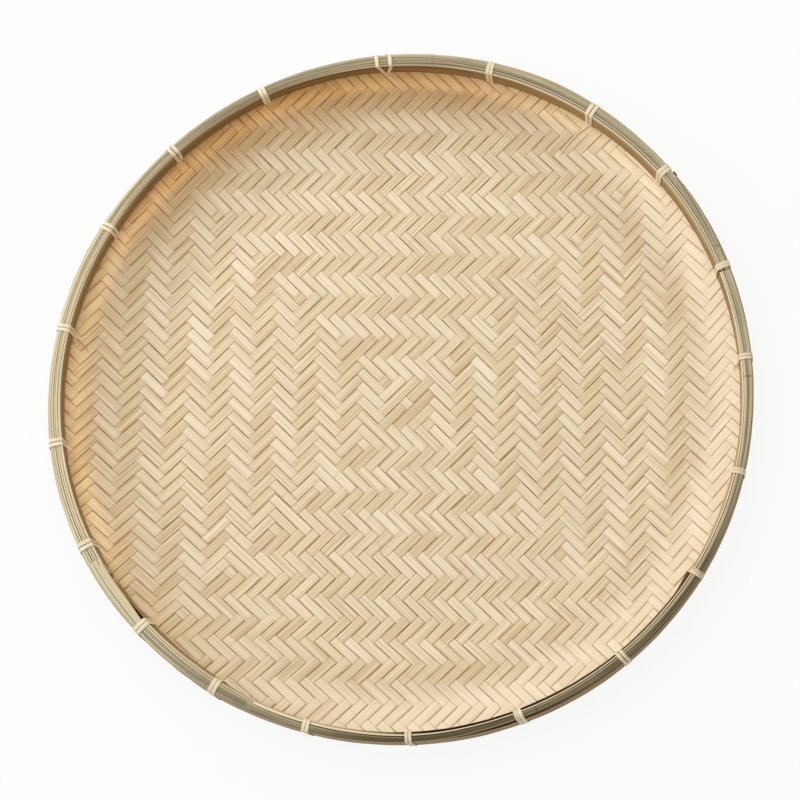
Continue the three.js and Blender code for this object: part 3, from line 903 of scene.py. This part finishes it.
# %% The caps' places and tones
cap_foot = hoop_top + seat_gap
cap_top = cap_foot + 0.002
crown_height, crown_drop = 0.0003, 0.0011
splint_round = 0.0005
half_butt = math.degrees(0.0003 / rim_radius)
right_root, right_split = 20.7, -113.3
left_root, left_split = -136.3, -148.8
skin_tones = {
    0: 0.68, 15: 0.64, 35: 0.61, 60: 0.54, 85: 0.58, 112: 0.34, 135: 0.64, 150: 0.84, 168: 1.15,
    198: 1.15, 210: 0.86, 225: 0.78, 240: 0.44, 255: 0.42, 272: 0.07, 298: 0.26, 330: 0.32, 345: 0.52,
}
contrasts = {0: 1, 18: 1, 26: 2.6, 75: 2.6, 100: 1.2, 150: 1.4, 200: 1.4, 215: 1}
# Painted shade: the caps' outer side is darkened along the lower right, and the left root's inner side
# beside the wedge.
outer_shade = {0: 0, 262: 0, 272: 1.6, 330: 1.6, 350: 0}
inner_shade = {0: 0, 212: 0, 218: 1.2, 223.6: 1.7, 223.8: 0}
right_reach = round(right_root - left_root, 1)
print("caps: the left one covers", 360 - right_reach, "degrees and the right one", right_reach)

# %% [markdown]
# ## One splint
# A splint is a slice of the strip's width. Its top follows the slight crown of the whole strip, its
# edges are shaved round, and it wavers a little on its way. The mesh carries how pale the skin is,
# where it is cut, where its nodes are and where its sides are darkened with painted shade, so that one
# finish serves every splint.

# %% A splint of the cap
def crowned(across, inner, outer):
    """The height of the cap's top, which is slightly arched across its width."""
    half = (outer - inner) / 2
    return cap_top + crown_height - crown_drop * ((across - inner - half) / half) ** 2


def splint_outline(low, high, angle, lift):
    round_off = min(splint_round, (high - low) / 4)
    s = round_off * corner_share
    inner, outer = cap_inner(angle), cap_outer(angle)

    def top(across, down=0.0):
        return across, crowned(across, inner, outer) + lift - down

    return [
        (low, cap_foot), (high, cap_foot),
        top(high, round_off), top(high - s, s), top(high - round_off), top((low + high) / 2),
        top(low + round_off), top(low + s, s), top(low, round_off),
    ]


cap_cut = np.array([1, 1, 1, 0.8, 0, 0, 0, 0.8, 1.0])
splint_waver, splint_wobble = 0.0003, 0.00022
outer_side, inner_side = slice(1, 4), [8, 0]


def splint(start, end, edges, lift, row, rows, strip, folds, tone=0.0, flesh=0.0, marks=()):
    """A splint between two angles. Edges gives its inner and outer edge at an angle, flesh tells how
    much of its skin is gone, and marks are the angles of its nodes."""
    waver = slow_waves([61.0, 31.0, 17.0], splint_waver)
    wobble = slow_waves([43.0, 19.0], splint_wobble)
    rings = []
    for angle in stations_between(start, end, marks=marks):
        low, high = edges(angle)
        off = waver(angle) * min(0.4, 100 * (high - low))
        rings.append((angle, splint_outline(low + off, high + off, angle, lift + wobble(angle))))
    points = ring_points(rings)
    angles = np.array([ring[0] for ring in rings])
    cut = np.broadcast_to(np.maximum(cap_cut, flesh), points.shape[:2])
    node_mark = np.isin(angles, marks)[:, None] + np.zeros(cut.shape)
    # Painted shade on the splints' sides, added to the marks of the nodes.
    node_mark[:, outer_side] += column_around(angles, outer_shade)
    node_mark[:, inner_side] += column_around(angles, inner_shade)
    tones = column_around(angles, skin_tones) + tone * column_around(angles, contrasts)
    columns = {"cut": cut, "node": node_mark, "tone": np.broadcast_to(tones, cut.shape)}
    return rolled(points, row, rows, folds, strip, columns, seeds.uniform(0, 2))


print("a splint:", len(cap_cut), "corners")

# %% [markdown]
# ## A strip that is split
# The wide root is one splint. The narrow ones start a little inside it, where the split begins, and
# end side by side or slightly staggered. Their borders are shares of the strip's width, so they
# follow wherever the strip widens. One could cut slots into a solid strip instead, but then no
# splint could lie higher or waver on its own.

# %% Wide root, narrow splints
half_gaps = {-338: 0.07, -300: 0.07, -285: 0.2, -130: 0.2}
lowest_lift, highest_lift = -0.0004, 0.0001


def split_strip(
    far_end, split_from, root_edges, root, splits, kinds, marks, extra=(), ragged=0.0, grain=0.35
):
    """Splits gives the splints' borders at a few plan angles, kinds their tone and flesh, extra
    more splints, ragged how many degrees their ends are staggered over, grain the root's noise."""
    places = sorted(splits)
    shares = np.array([splits[place] for place in places])
    rows = len(kinds) + 1 + len(extra)
    sheets = [splint(split_from - 1.0, root, root_edges, 0.0, 0, rows, grain, 2, 0.0, 0.0, marks)]
    for k, (tone, flesh) in enumerate(kinds):
        def edges(angle, k=k):
            outer = cap_outer(angle)
            width = outer - cap_inner(angle)
            near, far = (np.interp(angle, places, shares[:, j]) for j in (k, k + 1))
            first, last = k == 0, k == len(kinds) - 1
            half_gap = float(around(angle, half_gaps))
            low = outer - width * far + half_gap * (not last)
            return low, outer - width * near - half_gap * (not first)

        lift = seeds.uniform(lowest_lift, highest_lift)
        strip = seeds.uniform()
        end = far_end + ragged * (k * 0.38 % 1)
        sheets.append(splint(end, split_from, edges, lift, k + 1, rows, strip, 4, tone, flesh, marks))
    for k, (start, end, edges, lift, tone, flesh) in enumerate(extra, len(kinds) + 1):
        sheets.append(splint(start, end, edges, lift, k, rows, seeds.uniform(), 4, tone, flesh))
    return sheets


print("half gaps between splints, mm:", sorted(set(half_gaps.values())))

# %% [markdown]
# ## Edges that are cut or torn
# Near its root the left strip's inner edge is cut back, which leaves a slim open wedge. Along the
# right strip's inner edge a narrow lip has split off. Each strip also has one thin dark crack. It is
# made as a dark sliver that stands just proud of the skin, because a real slot that thin would need
# many more faces; the sliver's dark tone is painted shade for the inside of the slot.

# %% Wedge, lip and cracks
wedge_depth, wedge_angle = 0.0029, 5.4
# The crack's dark tone is painted shade, standing in for the inside of a slot.
crack_half_width, crack_lift, crack_tone = 0.00036, 0.0003, -1.5


def trimmed_root(angle):
    share = float(np.clip(1 - (left_root - half_butt - angle) / wedge_angle, 0, 1))
    return cap_inner(angle) + wedge_depth * share ** 1.3, cap_outer(angle)


lip_widths = {0: 1.0, 20: 0.85, 78: 0.9, 95: 1.9, 113: 2.6, 330: 1.1}
lip_gaps = {0: 0.25, 12: 0.7, 32: 0.85, 60: 0.85, 78: 0.85, 88: 1.0, 104: 1.0, 113: 0.4, 330: 0.2}


def lip_edges(angle):
    return cap_inner(angle), cap_inner(angle) + around(-angle, lip_widths)


def right_edges(angle):
    return lip_edges(angle)[1] + around(-angle, lip_gaps), cap_outer(angle)


def crack(start, end, start_depth, end_depth):
    """An extra splint. Its depths are its distances from the strip's outer edge in millimetres."""

    def edges(angle):
        share = min(max((angle - start) / (end - start), 0), 1)
        depth = start_depth + (end_depth - start_depth) * share * share
        middle = cap_outer(angle) - depth / 1000
        half = crack_half_width * math.sin(math.pi * (0.08 + 0.84 * share))
        return middle - half, middle + half

    return start, end, edges, crack_lift, crack_tone, 0


print("the lip is", min(lip_widths.values()), "to", max(lip_widths.values()), "mm wide")

# %% [markdown]
# ## Both cap strips
# The left strip is split for most of its length, the right one only near its far end. Most splints
# keep their skin. A few have lost some or all of it and show pale flesh. The nodes of the bamboo
# cross each strip at two places.

# %% The left and the right cap
left_sheets = split_strip(
    right_root + half_butt - 360, left_split, trimmed_root, left_root - half_butt,
    {
        -340: [0, 0.42, 0.60, 0.69, 0.80, 0.90, 1],
        -320: [0, 0.40, 0.58, 0.67, 0.78, 0.88, 1],
        -290: [0, 0.40, 0.58, 0.68, 0.78, 0.87, 1],
        -275: [0, 0.36, 0.58, 0.62, 0.71, 0.94, 1],
        -262: [0, 0.34, 0.66, 0.72, 0.82, 0.93, 1],
        -248: [0, 0.34, 0.70, 0.78, 0.88, 0.95, 1],
        -235: [0, 0.30, 0.44, 0.50, 0.59, 0.94, 1],
        -200: [0, 0.26, 0.40, 0.45, 0.55, 0.90, 1],
        -180: [0, 0.24, 0.42, 0.47, 0.58, 0.80, 1],
        -150: [0, 0.22, 0.42, 0.46, 0.58, 0.84, 1],
    },
    [(0.0, 0), (-0.05, 0), (-0.2, 0), (0.15, 1.0), (-0.12, 0), (0.12, 0.9)], (-274.4, -335.0),
    [crack(-335.5, -321.5, 2.9, 0.5)], ragged=0.5, grain=0.9,
)
sewn("cap_left", left_sheets, skin_olive, ["cap_strip_left"])
right_sheets = split_strip(
    left_root + half_butt, right_split, right_edges, right_root - half_butt,
    {
        -137: [0, 0.18, 0.34, 0.50, 0.66, 0.84, 1.0],
        -110: [0, 0.28, 0.46, 0.60, 0.68, 0.84, 1.0],
    },
    [(0.0, 0), (-0.08, 0), (0.06, 0), (-0.2, 0), (0.15, 0.4), (0.1, 0.6)], (2.2, -66.0),
    [
        (right_split, right_root - half_butt, lip_edges, -0.0003, 0.8, 1.0),
        crack(-88, -70, 4.1, 3.9),
    ],
)
sewn("cap_right", right_sheets, skin_olive, ["cap_strip_right"])

# %% [markdown]
# ## A torn fibre
# At the lower right a brown fibre of the inner hoop has torn loose and bows in over the mat, widest
# beside a tie. It could be one more splint of the cap, but the cap's crown falls away so far
# in that such a section would turn inside out. So it has the flat section of the mat's strips, and
# lies on top of the inner hoop.

# %% The torn fibre
torn_from, torn_to = -38.8, -32.4
torn_tip, torn_spread = 0.0005, 0.0031
torn_gap, torn_half_thickness, torn_height = 0.0002, 0.0004, hoop_top + 0.0005


def torn_ring(angle):
    share = (angle - torn_from) / (torn_to - torn_from)
    width = torn_tip + torn_spread * share ** 1.2
    across = cap_inner(angle) - torn_gap - width * (1 - strip_outline[:, 0]) / 2
    return angle, np.stack([across, torn_height + torn_half_thickness * strip_outline[:, 1]], 1)


torn_points = ring_points([torn_ring(angle) for angle in np.linspace(torn_from, torn_to, 14)])
zeros = np.zeros(torn_points.shape[:2])
shaded = 0.8 * (strip_outline[:, 0] > 0.3)
torn_columns = {"cut": zeros, "node": zeros + shaded, "tone": zeros + 0.05}
torn_sheet = rolled(torn_points, 0, 1, 2, 0.5, torn_columns)
sewn("torn_fibre", [torn_sheet], hoop_brown, ["inner_hoop"])

# %% [markdown]
# ## The ties
# Each tie is a flat strip of bamboo skin, wound twice round hoops, mat edge and cap. On the inside it
# goes through the mat, just under the inner hoop. The path is the frame's: the corners of the bundle,
# moved out by a little more than half the strip's thickness. Here every corner is rounded, because a
# strip that is drawn tight bends and does not fold. No two ties are alike: some strips are wider,
# some turns lie close together and others leave a gap, and a few have a loose end. Their places
# were read off the picture, and a separate program turned them into plan angles.

# %% The ties' places, and what they are drawn round
tie_thickness = 0.0005
hole_gap = 0.0003
cap_overhang = 0.0004
tie_angles = [
    93.8, 75.7, 56.9, 40.8, 21.6, 5.6, -13.7, -31.8, -49.9, -69,
    -87.1, -103.9, -120.4, -136.3, -153.1, -171.4, 168.9, 150.2, 133.1, 115,
]
strip_widths = [
    3.4, 3.1, 3.3, 3.3, 2.8, 2.5, 2.5, 2.6, 3.0, 3.3,
    2.8, 3.0, 3.5, 3.5, 3.3, 3.2, 3.0, 3.0, 3.2, 3.2,
]
gaps_on_cap = [
    8.2, 0.2, 0.9, 0.3, 0.1, 0.4, 0.2, 0.2, 0.9, 0.3,
    0.3, 0.3, 0.3, 0.5, 1.0, 0.7, 0.4, 1.0, 1.3, 0.2,
]


def bundle(angle):
    """The corners that a tie is drawn round, from under the bundle up the inner face."""
    swell, out = float(inner_swell(angle)), float(around(angle, outer_swelling))
    foot, head = inner_face - swell, inner_face - top_share * swell
    low = min(wall_height(foot, -mat_thickness / 2) - hoop_round, -outer_drop)
    inner, outer, edge = float(cap_inner(angle)), float(cap_outer(angle)), 0.0006
    head = min(head, inner + cap_overhang)
    sill = wall_height(foot, mat_thickness)
    rise = hoop_top - hoop_round - sill
    face = [(foot + (head - foot) * s, sill + rise * s) for s in (0, 0.3, 0.6, 1)]

    def on_cap(across, down=0.0):
        return across, crowned(across, inner, outer) - down

    outside = max(outer_face + out, outer)
    return np.array([
        (0, (low - outer_drop) / 2), (foot + hoop_round, low), (foot, low + hoop_round), *face,
        on_cap(inner, edge), on_cap(inner + edge), on_cap((inner + outer) / 2),
        on_cap(outer - edge), on_cap(outer, edge),
        (outside, hoop_top - hoop_round), (outer_face + out, hoop_round - outer_drop),
        (outer_face - hoop_round, -outer_drop),
    ])


print("ties:", len(tie_angles), "with", len(bundle(0)), "corners each")

# %% [markdown]
# ## Winding a tie
# The path goes round the bundle twice. On each way round it moves sideways by its own width and a
# gap, most of that on the outer face and underneath, so that the turns lie side by side on the cap.
# Every corner of the path is rounded, and the flat outline is then swept along it.

# %% Two turns
turn_shares = [0, 0.03, 0.06, 0.08, 0.09, 0.10, 0.12, 0.14, 0.16, 0.18, 0.2, 0.24, 0.4, 0.8, 0.93]
middle_share = 0.66
bend_reach = 0.0012
edge_waver = 0.00025
tie_tone = 0.75


def unit(vectors):
    return vectors / np.linalg.norm(vectors, axis=-1, keepdims=True)


def rounded_path(points, reach):
    """Each corner becomes three points of a curve that leaves and joins its sides early."""
    made = [points[0]]
    for before, at, after in zip(points, points[1:], points[2:]):
        arms = []
        for other in (before, after):
            arm = other - at
            length = np.linalg.norm(arm[:2])
            arms.append(at + arm * min(0.4, reach / max(length, 1e-9)))
        made += [arms[0], (arms[0] + arms[1] + 2 * at) / 4, arms[1]]
    return np.array(made + [points[-1]])


tie_outline = np.array([
    (-1, -0.6), (-0.9, -1), (0.9, -1), (1, -0.6), (1, 0.4),
    (0.82, 0.95), (0.3, 0.8), (-0.3, 1.0), (-0.8, 0.9), (-1, 0.4),
])


def tie_sheet(angle, width, gap_on_cap, row, rows):
    loop = bundle(angle)
    count = len(loop)
    before, after = np.roll(loop, 1, axis=0), np.roll(loop, -1, axis=0)

    def outward(start, end):
        return unit(np.stack([start[:, 1] - end[:, 1], end[:, 0] - start[:, 0]], 1))

    first = outward(before, loop)
    halving = unit(first + outward(loop, after))
    reach = seat_gap + tie_thickness / 2
    moved = loop + halving * (reach / (halving * first).sum(axis=1))[:, None]
    path = []
    for step in range(2 * count + 1):
        across, up = moved[step % count]
        height = np.clip(loop[step % count][1] / hoop_top, 0, 1) ** 0.8
        gap = hole_gap + (gap_on_cap - hole_gap) * height
        sideways = (step // count + turn_shares[step % count] - middle_share) * (width + gap)
        path.append((across, up, sideways))
    path = rounded_path(np.array(path), bend_reach)
    ahead = np.gradient(path[:, :2], axis=0)
    normal = unit(np.stack([-ahead[:, 1], ahead[:, 0]], 1))
    edge, depth = tie_outline[:, 0], tie_outline[:, 1]
    r, z = from_section(
        path[:, :1] + normal[:, :1] * depth * tie_thickness / 2,
        path[:, 1:2] + normal[:, 1:] * depth * tie_thickness / 2,
    )
    wave = slow_waves([0.9, 0.4], edge_waver)
    half_width = width / 2 + np.array([wave(k / count) for k in range(len(path))])
    turned = np.degrees((path[:, 2:] + edge * half_width[:, None]) / rim_radius)
    rings = on_ring(angle + turned, r, z)
    return tie_rolled(rings, edge, row, rows, 4)


def tie_rolled(rings, edge, row, rows, folds, tone=tie_tone, darkening=0.0):
    zeros = np.zeros(rings.shape[:2])
    columns = {
        "cut": np.broadcast_to((abs(edge) > 0.95) * 0.6, zeros.shape),
        "node": zeros + darkening, "tone": zeros + tone,
    }
    return rolled(rings, row, rows, folds, seeds.uniform(), columns, seeds.uniform(0, 2))


print("a tie's strip:", len(tie_outline), "corners")

# %% [markdown]
# ## Loose ends
# A tie begins and ends somewhere: a few ends lie on the weave, and one is pushed into the notch of
# the outer hoop. Each is a short strip of its own, in the same piece as its tie.

# %% Ends that show
end_taper, end_half_thickness = 0.55, 0.0002
tucked_foot, tucked_top = -0.006, hoop_top + 0.0006
tucked_lift, tucked_half_thickness = 0.0002, 0.0009
tucked_tie, tucked_angle, tucked_width = 4, 39.3, 0.0045
browned_tie, browned_tone = 17, 0.1


def loose_end(course, width, row, rows, tone):
    """Its course gives plan angles, arc lengths from the middle of the mat, and heights over the
    mat's middle surface, the last two in millimetres."""
    course = np.array(course, float)
    t = np.linspace(0, 1, 4 * len(course))
    angle, arc, over = (np.interp(t, np.linspace(0, 1, len(course)), course[:, k]) for k in range(3))
    r, z, steep = dish(arc / 1000)
    over = over / 1000
    spine = on_ring(angle, r - over * np.sin(steep), z + over * np.cos(steep))
    ahead = unit(np.gradient(spine, axis=0))
    side = unit(np.cross(ahead, (0, 0, 1)))
    normal = np.cross(side, ahead)
    edge, depth = tie_outline[:, 0], tie_outline[:, 1]
    taper = (width / 2 * np.linspace(1, end_taper, len(t)))[:, None, None]
    rings = (
        spine[:, None] + side[:, None] * edge[None, :, None] * taper
        + normal[:, None] * depth[None, :, None] * end_half_thickness
    )
    return tie_rolled(rings, edge, row, rows, 1, tone)


def tucked_end(angle, width, row, rows):
    """An end that is pushed down into the notch of the outer hoop."""
    up = np.linspace(tucked_foot, tucked_top, 9)
    edge, depth = tie_outline[:, 0], tie_outline[:, 1]
    across = outer_face + tucked_lift + depth * tucked_half_thickness
    r, z = from_section(across, up[:, None] + 0 * depth)
    rings = on_ring(angle + np.degrees(edge * width / 2 / rim_radius), r, z)
    # The tucked end is coloured nearly black where it goes down into the notch.
    return tie_rolled(rings, edge, row, rows, 1, -0.6, 1.6)


loose_ends = {
    1: [((93.2, 288, 1.6), (92.2, 283, 1.9), (91.0, 276, 1.5)), 0.0015],
    3: [((56.6, 289, 1.6), (57.6, 278, 1.8), (58.2, 266, 1.7), (58.6, 254, 1.4)), 0.0013],
    6: [((5.7, 291, 1.8), (5.0, 287, 2.2), (4.2, 286, 1.8)), 0.0012],
    17: [((169.6, 289, 1.6), (170.2, 283, 1.9), (171.4, 276, 1.5)), 0.0011],
}
print("ends that lie on the weave:", len(loose_ends))

# %% [markdown]
# ## All twenty ties
# Each tie is one piece, made by the same functions from its own angle, width and gap.

# %% The ties
for number, (angle, width, gap) in enumerate(zip(tie_angles, strip_widths, gaps_on_cap), 1):
    rows = 2 if number in loose_ends or number == tucked_tie else 1
    sheets = [tie_sheet(angle, width / 1000, gap / 1000, 0, rows)]
    if number in loose_ends:
        course, end_width = loose_ends[number]
        tone = browned_tone if number == browned_tie else tie_tone
        sheets.append(loose_end(course, end_width, 1, 2, tone))
    if number == tucked_tie:
        sheets.append(tucked_end(tucked_angle, tucked_width, 1, 2))
    sewn(f"tie_{number:02d}", sheets, tie_ivory, [f"lashing_{number:02d}"])

# %% [markdown]
# ## The table
# The tray stands on a white table that is lit like the tray. To the camera the table adds a little
# light of its own, so that it looks white all over, while the tray's soft shadow still shows on it.

# %% The table
deselect_all()
bpy.ops.mesh.primitive_plane_add(size=8, location=(0, 0, 0))
table = bpy.context.object
table.name = "table"
table_finish = Finish("table_white", roughness=0.9)
table_finish.shader.inputs["Base Color"].default_value = (0.88, 0.88, 0.88, 1)
to_eye = table_finish.node("LightPath", out=0)
glossy = table_finish.node("LightPath", out=3)
through = table_finish.node("LightPath", out=6)
shown = to_eye.maths("MAXIMUM", glossy).maths("MAXIMUM", through)
white_light = table_finish.node("Emission", None, {"Color": (1, 1, 1, 1), "Strength": 1.0})
blend = table_finish.node("MixShader", None, {
    0: shown * 0.9, 1: Field(table_finish, table_finish.shader.outputs[0]), 2: white_light,
})
surface = table_finish.tree.nodes["Material Output"].inputs["Surface"]
table_finish.tree.links.new(blend.socket, surface)
table.data.materials.append(table_finish.material)
